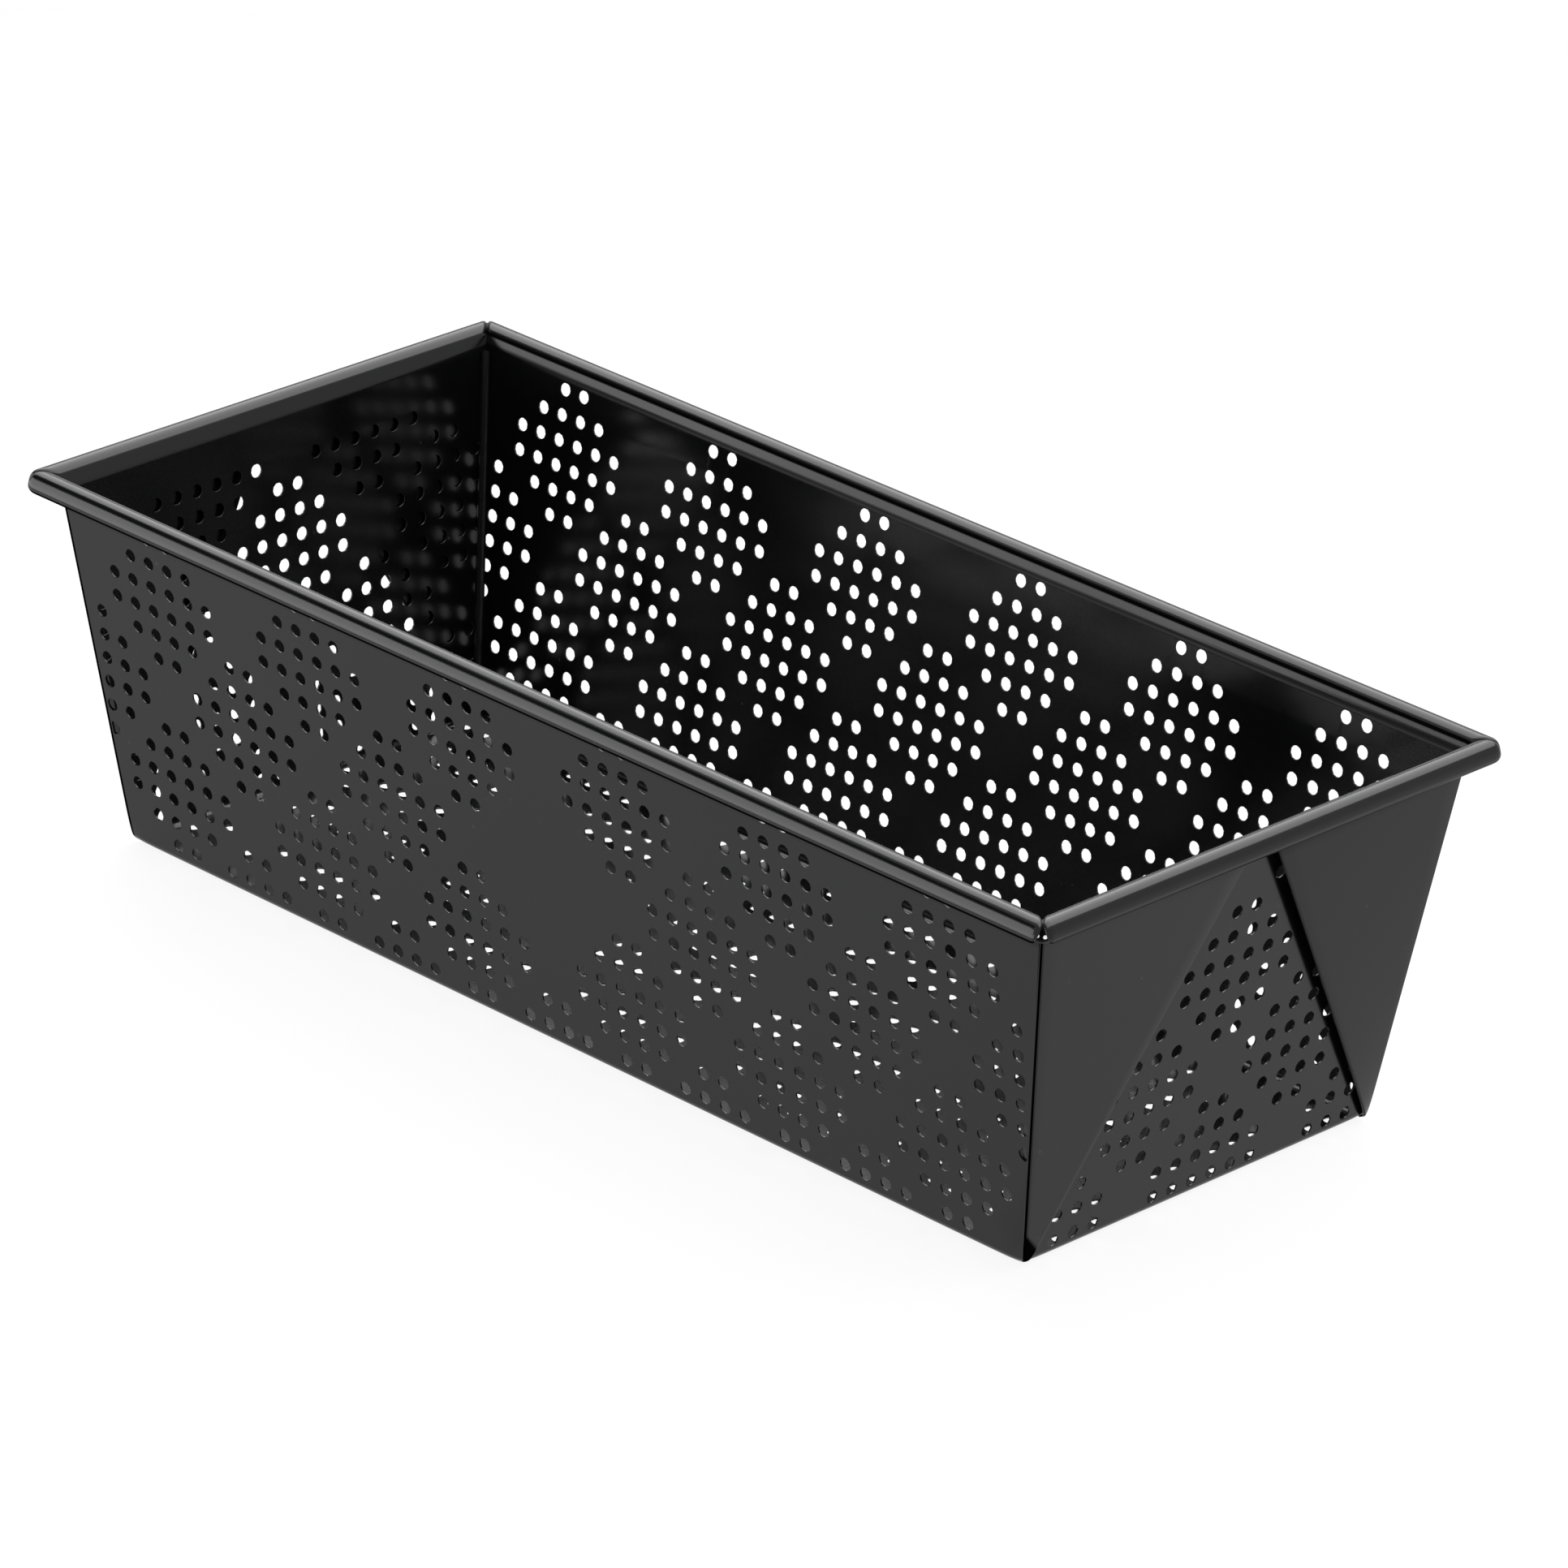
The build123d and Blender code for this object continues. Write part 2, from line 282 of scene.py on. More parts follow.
def coatedSheet():
    # Satin black coating: fine orange peel, faint clouds, dust specks and pale cut edges
    # The wear mask pales the cut edges; the other two masks are painted shade: one darkens grooves, the
    # rolls' inner faces and undersides and some feet, the shade mask darkens walls and pleats just under
    # the rims
    material, tree, shader = newMaterial("coatedSheet")
    start = Signal(tree)
    place = start.node("ShaderNodeTexCoord", output="Object")
    cloud = noise(place, **coating["clouds"])
    peel = noise(place, **coating["peel"])
    cells = {"Vector": place, "Scale": coating["dustScale"], "Randomness": 1.0}
    dust = start.node("ShaderNodeTexVoronoi", {"feature": "F1"}, cells)
    speck = remap(dust, coating["dustSize"], blend="SMOOTHSTEP")
    dusty = remap(noise(place, **coating["dustAreas"]), coating["dustSpan"])
    speckMask = speck * dusty * coating["dustMost"]
    patches = remap(noise(place, **coating["wornPatches"]), coating["wornSpan"])
    edgeMask = readMask(start, "wear") * patches
    base = mixColours(cloud, coating["darkColour"], coating["paleColour"])
    dusted = mixColours(speckMask, base, coating["wornColour"])
    worn = mixColours(edgeMask, dusted, coating["wornColour"])
    rough = remap(cloud, coating["cloudSpan"], coating["rough"])
    height = peel * coating["peelShare"] + speckMask * coating["dustShare"]
    relief = {"Strength": coating["bumpStrength"], "Distance": coating["bumpDepth"], "Height": height}
    bump = start.node("ShaderNodeBump", {}, relief)
    tree.links.new(worn.socket, shader.inputs["Base Color"])
    tree.links.new(rough.socket, shader.inputs["Roughness"])
    tree.links.new(bump.socket, shader.inputs["Normal"])
    shader.inputs["IOR"].default_value = coating["ior"]
    # Painted shade: a matt near-black surface, mixed in where the masks and the heights say
    paintedShadeInputs = {"Base Color": coating["paintedShadeColour"], "Roughness": coating["paintedShadeRough"], "IOR": 1.0}
    dark = start.node("ShaderNodeBsdfPrincipled", {}, paintedShadeInputs)
    level = start.node("ShaderNodeSeparateXYZ", {}, {0: place}, 2)
    underRim = remap(level, coating["rimShadeSpan"], coating["rimShade"], "SMOOTHSTEP")
    paintedShadeAmount = readMask(start, "paintedShade") + readMask(start, "shade") * underRim
    coated = Signal(tree, shader.outputs["BSDF"])
    both = start.node("ShaderNodeMixShader", {}, {0: paintedShadeAmount, 1: coated, 2: dark})
    tree.links.new(both.socket, tree.nodes["Material Output"].inputs["Surface"])
    return material


wire = {
    # Near-black colours: painted shade, as the wire is only seen through the near corner's slit
    "darkColour": (0.001, 0.001, 0.001, 1),
    "paleColour": (0.003, 0.003, 0.003, 1),
    "glintColour": (0.85, 0.85, 0.84, 1),
    "streaks": {"scale": 400.0, "detail": 3.0},
    "rough": (0.3, 0.5),
    # Where the two painted glints sit
    "glints": [(0.14781, -0.0671, 0.08341), (0.14906, -0.06609, 0.08318)],
    "glintSpan": (0.0005, 0.00035),  # a glint fades out between these distances from its middle
}


def wireShadeAndGlints():
    # Drawn steel with fine streaks, coloured near black as painted shade in the near corner's slit, with
    # two painted glints in that slit
    material, tree, shader = newMaterial("wireShadeAndGlints")
    start = Signal(tree)
    place = start.node("ShaderNodeTexCoord", output="Object")
    streak = noise(place, **wire["streaks"])
    colour = mixColours(streak, wire["darkColour"], wire["paleColour"])
    rough = remap(streak, (0.0, 1.0), wire["rough"])
    # Painted glints: two bright spots in the near corner's slit
    paintedGlints = 0.0
    for glint in wire["glints"]:
        away = start.node("ShaderNodeVectorMath", {"operation": "DISTANCE"}, {0: place, 1: glint}, 1)
        paintedGlints = paintedGlints + remap(away, wire["glintSpan"])
    colour = mixColours(paintedGlints, colour, wire["glintColour"])
    tree.links.new(colour.socket, shader.inputs["Base Color"])
    tree.links.new(rough.socket, shader.inputs["Roughness"])
    shader.inputs["Metallic"].default_value = 1.0
    return material


blackCoat = coatedSheet()
shadedWire = wireShadeAndGlints()
for nodeName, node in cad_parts.items():
    node.data.materials.clear()
    node.data.materials.append(shadedWire if nodeName == "rim_wire" else blackCoat)
print("materials made")

# Holes: diamonds on one square lattice over the flat sheet

holes = {
    "radius": 0.0015,
    "pitch": 0.00575,
    "shift": 0.0008,  # of the lattice toward the back
    "period": 8,  # pitches between diamonds in a row
    "reach": 3,  # pitches from a diamond's middle to its points
    "cornerLand": 0.0008,  # from a hole's middle to its wall's corner line
    "footLand": 0.006,  # the same to the wall's bottom corners
    "endRimLand": 0.004,  # from a hole's edge to the top of an end wall
    "segments": 20,
    "edgeRound": 0.00007,
    "coreShare": 0.97,  # a triangle with its middle within this share of a hole's radius lies in the hole
    "leastArea": 1e-14,
    "weld": 1e-9,
}


def flatLattice():
    # Hole places on the flat sheet and the middles of their diamonds
    count = int(np.ceil((pan["rimLength"] / 2 + pan["height"]) / holes["pitch"]))
    steps = np.arange(-count, count) + 0.5
    column, row = [grid.ravel() for grid in np.meshgrid(steps, steps, indexing="ij")]
    period = holes["period"]
    placeParts, middleParts = [], []
    for offset in (0, period // 2):
        middleColumn = np.round((column - offset) / period) * period + offset
        middleRow = np.round((row - offset) / period) * period + offset
        near = np.abs(column - middleColumn) + np.abs(row - middleRow) <= holes["reach"]
        placeParts.append(np.stack([column[near], row[near]], axis=1))
        middleParts.append(np.stack([middleColumn[near], middleRow[near]], axis=1))
    shift = np.array([0, holes["shift"]])
    places = np.concatenate(placeParts) * holes["pitch"] + shift
    middles = np.concatenate(middleParts) * holes["pitch"] + shift
    return places, middles


def foldOntoWall(places, turn):
    # Flat places as along and up a folded wall
    along, y = turned(places[:, 0], places[:, 1], -turn)
    return along, -y - baseLine(turn)[0] + bendSaving


def wallHoles(turn, rimLand, bareMiddle):
    # The lattice's holes that lie well inside the wall's flat part
    places, middles = flatLattice()
    along, up = foldOntoWall(places, turn)
    middleAlong, middleUp = foldOntoWall(middles, turn)
    run = baseLine(turn)[1]
    keep = (middleUp <= wallTop) & (np.abs(middleAlong) <= run + wallTop * leanSin)
    keep &= (up - holes["radius"] >= bendTangent) & (up + holes["radius"] <= wallTop - rimLand)
    keep &= np.abs(along) <= run + up * leanSin - holes["cornerLand"]
    keep &= np.hypot(run - np.abs(along), up) >= holes["footLand"]
    if bareMiddle:
        inColumn = np.abs(middleAlong) < holes["pitch"] / 2
        inRow = np.abs(middleUp - (wallTop + bendTangent) / 2) < holes["pitch"] * holes["period"] / 2
        keep &= ~(inColumn & inRow)
    return along[keep], up[keep]


def perforatedPlate(outline, centreX, centreY, halfBase, slope):
    # A flat plate with round holes, as x, y and the depth below its outer face
    # Both faces are triangulated between the outline and the holes' widest circles, and each hole gets a
    # wall with bevelled edges; the holes are cut off at halfBase plus slope times y from the middle
    segments = holes["segments"]
    around = np.arange(segments) * 2 * np.pi / segments
    soft = holes["edgeRound"]
    onFace = np.array([1, 0, 0, 1])
    radii = holes["radius"] + soft * onFace
    depths = np.array([0, soft, sheet - soft, sheet])
    ringX = centreX[:, None, None] + radii[:, None] * np.cos(around)
    ringY = centreY[:, None, None] + radii[:, None] * np.sin(around)
    edge = halfBase + ringY * slope
    ringX = np.clip(ringX, -edge, edge)
    ringZ = np.broadcast_to(depths[:, None], ringX.shape)
    ring = np.stack([ringX, ringY, ringZ], axis=-1)

    # The flat faces, without the triangles inside the holes
    n = len(outline)
    edges = np.stack([np.arange(n), (np.arange(n) + 1) % n], axis=1)
    circles = n + np.arange(len(centreX) * segments).reshape(-1, segments)
    circleEdges = np.stack([circles, np.roll(circles, -1, axis=1)], axis=-1).reshape(-1, 2)
    corners = list(map(Vector, np.concatenate([outline, ring[:, 0, :, :2].reshape(-1, 2)])))
    allEdges = np.concatenate([edges, circleEdges]).tolist()
    flat, _, tris, _, _, _ = delaunay_2d_cdt(corners, allEdges, [], 1, holes["weld"], False)
    flat = np.array([tuple(point) for point in flat])
    tris = np.array(tris)
    middle = flat[tris].mean(axis=1)
    away = np.min(np.hypot(middle[:, :1] - centreX, middle[:, 1:] - centreY), axis=1)
    tris = tris[away > holes["radius"] * holes["coreShare"]]
    a, b, c = flat[tris[:, 0]], flat[tris[:, 1]], flat[tris[:, 2]]
    area = (b[:, 0] - a[:, 0]) * (c[:, 1] - a[:, 1]) - (b[:, 1] - a[:, 1]) * (c[:, 0] - a[:, 0])
    tris = np.where(area[:, None] < 0, tris[:, ::-1], tris)
    tris = tris[np.abs(area) > holes["leastArea"]]

    # Points in the order outer face, inner face, both rims of the outline, holes
    count = len(flat)
    rimStart = 2 * count + np.arange(n)
    rimNext = np.roll(rimStart, -1)
    side = np.stack([rimStart, rimStart + n, rimNext + n, rimNext], axis=1)
    here = 2 * count + 2 * n + np.arange(ringX.size).reshape(ringX.shape)
    there = np.roll(here, -1, axis=2)
    bore = np.stack([here[:, :-1], there[:, :-1], there[:, 1:], here[:, 1:]], axis=-1).reshape(-1, 4)
    layers = [np.insert(face, 2, depth, axis=1) for face in (flat, outline) for depth in (0, sheet)]
    points = np.concatenate(layers + [ring.reshape(-1, 3)])
    wear = np.zeros(len(points))
    wear[2 * count + 2 * n:] = np.broadcast_to(onFace[:, None], ringX.shape).ravel()
    return points, [tris, (tris + count)[:, ::-1], side, bore], wear


# Walls: a perforated plate and the bend that joins it to the floor

walls = {
    "topThick": 0.00016,
    "thinFrom": 0.0775,  # the height up the wall where it starts to thin
    "cornerRound": 0.0015,
    "cornerSteps": 11,
    "longPast": 0.00005,  # the long walls' plates run past their corner lines
    "nearPast": -0.0004,  # but the front one stops short of the near corner, which opens a dark slit
    "nearPastSpan": (0.002, 0.005),  # above the bend, where it changes from the one to the other
    "bendSteps": 11,
    "bendStations": 121,
    "longShade": 1.0,
    "endShade": 0.2,
    "sharpTurn": 32.0,  # degrees past which an edge is shaded sharp
    "sides": {
        "frontWallSheet": {"node": "front_wall", "turn": 0, "bareMiddle": True},
        "backWallSheet": {"node": "back_wall", "turn": 180},
        "rightEndSheet": {"node": "right_end_wall", "turn": 90, "rimLand": holes["endRimLand"]},
        "leftEndSheet": {"node": "left_end_wall", "turn": 270, "rimLand": holes["endRimLand"]},
    },
}


def wallOutline(turn, past, pastRight):
    # The flat part of a wall seen from outside, with extra points beside its bottom corners and its sides
    # moved out by past and pastRight
    low = baseLine(turn)[1] + bendTangent * leanSin
    nearX = low + past - bottomCorners["meshSteps"]
    rise = np.concatenate([[0], bottomCorners["meshSteps"], [wallTop - bendTangent]])
    right = low + rise * leanSin + np.interp(rise, walls["nearPastSpan"], [past, pastRight])
    left = low + rise * leanSin + past
    bottomX = np.concatenate([-nearX, nearX[::-1]])
    return np.concatenate([
        np.stack([bottomX, np.full(len(bottomX), bendTangent)], axis=1),
        np.stack([right, bendTangent + rise], axis=1),
        np.stack([-left, bendTangent + rise], axis=1)[::-1],
    ])


def wallBend(turn):
    # The bend under a wall: a strip of sheet bent to an arc and carried along the base line, its points
    # spaced by the sine, closer toward both ends, which follow the wall's corner lines
    run = baseLine(turn)[1]
    arc = np.linspace(-bendTurn, 0, walls["bendSteps"])
    circle = np.stack([np.cos(arc), np.sin(arc)], axis=1)
    section = np.concatenate([bendOuter * circle, pan["bendRadius"] * circle[::-1]])
    out, up = (section + np.array([-bendOuter, bendTangent])).T[:, :, None]
    stations = np.sin(np.linspace(-1, 1, walls["bendStations"]) * np.pi / 2)
    along = stations * (run + out * leanCos + up * leanSin)
    grid = placeOnWall(along, up + 0 * along, out + 0 * along, turn)
    return grid.reshape(-1, 3), stripFaces(len(section), len(stations), True)


def insideCorner(turn, hand):
    # The hollow rounding down an inside corner: a quarter arc that touches both inner faces, closed by a
    # line inside the sheet behind it
    run = baseLine(turn)[1]
    up = np.array([[bendTangent, wallTop]])
    arc = np.linspace(0, np.pi / 2, walls["cornerSteps"])
    back = np.append(walls["cornerRound"] * (1 - np.sin(arc)), -sheet / 2)[:, None]
    deep = np.append(walls["cornerRound"] * (1 - np.cos(arc)), -sheet / 2)[:, None]
    along = run + up * leanSin - (sheet + back) / leanCos
    grid = placeOnWall(hand * along, up + 0 * along, -(sheet + deep) + 0 * up, turn)
    return grid.reshape(-1, 3), rodFaces(len(back), 2, hand > 0)


def makeWall(name, node, turn, rimLand=0, bareMiddle=False):
    # The plate thins toward the flare, and its outer face carries the shade under the rim
    isLong = turn in (0, 180)
    past = walls["longPast"] if isLong else 0
    pastRight = walls["nearPast"] if turn == 0 else past
    along, up = wallHoles(turn, rimLand, bareMiddle)
    outline = wallOutline(turn, past, pastRight)
    plate, faces, plateWear = perforatedPlate(outline, along, up, baseLine(turn)[1] + past, leanSin)
    thin = np.clip((plate[:, 1] - walls["thinFrom"]) / (wallTop - walls["thinFrom"]), 0, 1)
    depth = plate[:, 2] * (1 - thin * (1 - walls["topThick"] / sheet))
    parts = [(placeOnWall(plate[:, 0], plate[:, 1], -depth, turn), faces), wallBend(turn)]
    if isLong:
        parts += [insideCorner(turn, -1), insideCorner(turn, 1)]
    points, faces = joinParts(parts)
    wear, shade = np.zeros(len(points)), np.zeros(len(points))
    wear[:len(plate)] = plateWear
    shade[:len(plate)] = (plate[:, 2] < sheet / 2) * (walls["longShade"] if isLong else walls["endShade"])
    makePiece(name, node, points, faces, {"wear": wear, "shade": shade}, walls["sharpTurn"])
    print(name, len(along), "holes")


for name, settings in walls["sides"].items():
    makeWall(name, **settings)


def makeFloor():
    # The flat perforated bottom, worked out from below, where its outer face is
    fullX, fullY = halfLength - bendTangent, halfWidth - bendTangent
    places = flatLattice()[0]
    inside = np.all(np.abs(places) < np.array([fullX, fullY]) - holes["radius"], axis=1)
    steps = np.concatenate([[0], bottomCorners["meshSteps"]])
    edgeX = np.concatenate([-fullX + steps, (fullX - steps)[::-1]])
    edgeY = np.concatenate([-fullY + steps, (fullY - steps)[::-1]])
    outline = np.concatenate([
        np.stack([edgeX[:-1], -fullY + 0 * edgeX[:-1]], axis=1),
        np.stack([fullX + 0 * edgeY[:-1], edgeY[:-1]], axis=1),
        np.stack([edgeX[:0:-1], fullY + 0 * edgeX[:-1]], axis=1),
        np.stack([-fullX + 0 * edgeY[:-1], edgeY[:0:-1]], axis=1),
    ])
    points, faces, wear = perforatedPlate(outline, places[inside, 0], -places[inside, 1], fullX, 0)
    makePiece("floorSheet", "floor_panel", points * [1, -1, 1], faces, {"wear": wear}, walls["sharpTurn"])
    print("floorSheet", np.sum(inside), "holes")


makeFloor()

# Rolled rims: the flare and the roll as one profile, carried along each side and round its corners

rims = {
    "mitreGap": 0.0004,
    "notches": {"frontRight": 0.0016, "backRight": 0.0001, "backLeft": 0.0002, "frontLeft": 0.0001},
    "notchTurn": 40.0,  # degrees down the roll from straight out of its wall, where a notch is deepest
    "notchPower": 1.5,
    "lipLength": 0.0011,  # over which the roll's ends are pinched
    "lipDepth": 0.00055,
    "play": 0.000001,  # between the roll and the solid's outline
    "arcSteps": 56,
    "endSteps": np.array([
        0, 0.00004, 0.00012, 0.00025, 0.00045, 0.0007, 0.0011, 0.0016, 0.0022, 0.003,
        0.0042, 0.007, 0.012, 0.025, 0.05, 0.08, 0.12,
    ]),
    "flatten": 0.00045,
    "flattenSpread": 0.6,
    "flareLap": 0.0001,  # how far the flare reaches down into the wall
    "outerFoot": (-0.00005, 0.083),  # where the roll's outer face leaves the wall's inner one, out and up
    "innerFoot": (0.00001, wallTop + 0.00006),  # where its inner face leaves the wall's outer one
    "flareShares": np.array([0, 0.12, 0.25, 0.4, 0.55, 0.78, 0.9]),
    "leastRadius": 1e-7,
    "sharpTurn": 40.0,
    "wearBehindEnd": 0.6,
    "underFrom": -8.0,  # degrees round the roll where the painted shade line under it starts
    "underFade": 10.0,
    # how strong the painted shade under each roll is
    "paintedUnderShade": {"frontRoll": 1, "rightRoll": 0.65, "backRoll": 1, "leftRoll": 1},
    "sides": {
        "frontRoll": {"node": "front_rim", "turn": 0, "ends": ("frontLeft", "frontRight")},
        "rightRoll": {"node": "right_rim", "turn": 90, "ends": ("frontRight", "backRight")},
        "backRoll": {"node": "back_rim", "turn": 180, "ends": ("backRight", "backLeft")},
        "leftRoll": {"node": "left_rim", "turn": 270, "ends": ("backLeft", "frontLeft")},
    },
}

# Painted shade at the foot of the back roll's flare: a share of the flare's width, and more toward each
# end

flareFootShade = {
    "roll": "backRoll",
    "dark": 0.88,
    "share": 0.15,
    "blur": 0.12,
    "right": {"more": 0.3, "reach": 0.094, "fade": 0.075},
    "left": {"more": 0.12, "reach": 0.06, "fade": 0.045},
    "topPoints": 3,  # profile points in the painted shade line where the flare meets the roll
}


def rimProfile():
    # The sheet's section from the wall's top round the roll, as out of the wall and up it: along the
    # roll's outer face, then back along its inner one; with each point's turn round the roll in radians,
    # and 1 where it is on the roll
    # The roll is given by its reach in each direction, a little more below and less above the middle of
    # its outer side, so that side is flatter and turns in tighter at the bottom
    first = np.pi - np.radians(pan["flareTurn"])
    endTurn = np.arccos((rollInner - pan["curlGap"]) / rollOuter)
    sweep = np.linspace(first, first - (2 * np.pi - endTurn), rims["arcSteps"])
    level = sweep - np.radians(pan["lean"])
    bell = np.exp(-(level / rims["flattenSpread"]) ** 2)
    lift = -rims["flatten"] * level * bell
    slope = -rims["flatten"] * bell * (1 - 2 * (level / rims["flattenSpread"]) ** 2)
    strips = []
    outerFace = (rollOuter, 1, -walls["topThick"], rims["outerFoot"])
    innerFace = (rollInner, 0, 0, rims["innerFoot"])
    for radius, share, lapOut, flareStart in (outerFace, innerFace):
        reach = radius - rims["play"] + lift * share
        arcOut = rollOut + reach * np.cos(sweep) - slope * share * np.sin(sweep)
        arcUp = rollUp + reach * np.sin(sweep) + slope * share * np.cos(sweep)
        arc = np.stack([arcOut, arcUp], axis=1)
        lap = np.array([[lapOut, wallTop - rims["flareLap"]]])
        flare = flareStart + (arc[:1] - flareStart) * rims["flareShares"][:, None]
        strips.append(np.concatenate([lap, flare, arc]))
    before = len(rims["flareShares"]) + 1
    turnAngle = np.concatenate([np.full(before, first), sweep])
    onRoll = np.concatenate([np.zeros(before), np.ones(len(sweep))])
    section = np.concatenate([strips[0], strips[1][::-1]])
    return section, np.append(turnAngle, turnAngle[::-1]), np.append(onRoll, onRoll[::-1])


def rollEnd(steps, notch, turn, section, turnAngle, onRoll):
    # The sections of a roll near its end, each a step back along the way round the corner, as along and
    # out of its side and up
    # The way runs straight to the corner's pivot, then turns about it; inside the pivot it stays straight
    # The last section is pinched by a quarter ellipse and set back by half the mitre's gap and the notch
    half, run = baseLine(turn)
    out, up, angle, isRoll = [values[:, None] for values in (*section.T, turnAngle, onRoll)]
    reach = out * leanCos + up * leanSin
    height = up * leanCos - out * leanSin
    back = np.clip(1 - steps / rims["lipLength"], 0, 1)
    pinch = isRoll * rims["lipDepth"] * (1 - np.sqrt(1 - back ** 2)) / rollOuter
    reach = reach + (rollReach - reach) * pinch
    height = height + (pan["height"] - rollOuter - height) * pinch
    pivot = rollReach + rollOuter - pan["rimCorner"]
    radius = reach - pivot
    deepest = np.clip(np.cos(angle + np.radians(rims["notchTurn"])), 0, 1) ** rims["notchPower"]
    gap = isRoll * (rims["mitreGap"] / 2 + notch * deepest)
    straight = run + pivot
    roundWay = straight + radius * np.pi / 4 - gap
    way = np.where(radius > 0, roundWay, run + reach - gap * np.sqrt(2)) - steps
    roundTurn = np.maximum(way - straight, 0) / np.maximum(radius, rims["leastRadius"])
    isTurned = (radius > 0) & (roundTurn > 0)
    along = np.where(isTurned, straight + radius * np.sin(roundTurn), way)
    outward = np.where(isTurned, pivot + radius * np.cos(roundTurn), reach)
    return along, -half - outward, height


def makeRoll(name, node, turn, ends):
    section, turnAngle, onRoll = rimProfile()
    steps = rims["endSteps"][rims["endSteps"] < baseLine(turn)[1]]
    halves = []
    for hand, corner in zip((-1, 1), ends):
        along, out, height = rollEnd(steps, rims["notches"][corner], turn, section, turnAngle, onRoll)
        x, y = turned(along * hand, out, turn)
        halves.append(np.stack([x, y, height], axis=-1))
    grid = np.concatenate([halves[0], halves[1][:, ::-1]], axis=1)
    rows, columns = grid.shape[:2]
    wear = np.zeros((rows, columns))
    wear[:, 0] = wear[:, -1] = onRoll
    wear[:, 1] = wear[:, -2] = onRoll * rims["wearBehindEnd"]

    # Painted shade: the roll's inner face and its underside are darkened
    under = np.clip((rims["underFrom"] - np.degrees(turnAngle)) / rims["underFade"], 0, 1)
    under = under * rims["paintedUnderShade"][name]
    under[rows // 2:] = 1
    paintedShade = np.tile(under[:, None], (1, columns))
    if name == flareFootShade["roll"]:
        # Painted shade darkens the flare's foot up to a share of its width that grows toward both ends
        edge = np.full(columns, flareFootShade["share"])
        far = np.ones(len(steps))
        fromRight, fromLeft = np.append(steps, far), np.append(far, steps[::-1])
        for end, fromEnd in ((flareFootShade["right"], fromRight), (flareFootShade["left"], fromLeft)):
            edge += end["more"] * np.clip((end["reach"] - fromEnd) / end["fade"], 0, 1)
        shares = rims["flareShares"][:, None]
        last = len(shares)
        soft = np.clip((edge - shares[:-1]) / flareFootShade["blur"] + 0.5, 0, 1)
        paintedShade[0] = flareFootShade["dark"] / 2
        paintedShade[1:last] = soft * flareFootShade["dark"]
        paintedShade[last:last + flareFootShade["topPoints"]] = 1
    paintedShade[:, 0] = paintedShade[:, -1] = 0
    faces = stripFaces(rows, columns, False)
    makePiece(name, node, grid.reshape(-1, 3), faces, {"wear": wear, "paintedShade": paintedShade}, rims["sharpTurn"])


for name, settings in rims["sides"].items():
    makeRoll(name, **settings)
print("rolls made")

# Corner pleats: the spare corner of the sheet, folded flat over the end walls

pleats = {
    "grooveDepth": 0.0012,  # of the groove between pleat and wall, down the upright corner, which is also darkened with painted shade
    "grooveWidth": 0.00068,
    "underTurn": 62.0,  # degrees that a pleat follows the bend under the pan
    "underRows": 8,
    "rows": 60,
    "rowPower": 1.5,
    "overhang": 0.0005,
    "leastWidth": 0.0003,
    "leastThin": 0.02,
    "roundShare": 0.45,  # the most of a narrow pleat's width that a rounding may take
    "grooveShare": 0.2,
    "cornerSteps": 9,
    "foldSteps": 15,
    "flatSteps": 13,
    "spring": 1.2,  # degrees that the pleats stand off their walls
    "shade": 0.2,
    "footSlope": 1.3,  # how steeply the painted shade at a pleat's foot ends
    "footBlur": 0.0008,
    "sharpTurn": 40.0,
    "sides": {
        # Painted shade: the front right pleat is darkened at its foot, the back right pleat a little all
        # over
        "frontRightPleat": {"node": "front_right_pleat", "turn": 90, "hand": -1, "footShade": 0.0083},
        "backRightPleat": {
            "node": "back_right_pleat", "turn": 90, "hand": 1, "spring": 1.9, "power": 0.3, "overallShade": 0.24,
        },
        "backLeftPleat": {"node": "back_left_pleat", "turn": 270, "hand": -1},
        "frontLeftPleat": {"node": "front_left_pleat", "turn": 270, "hand": 1},
    },
}


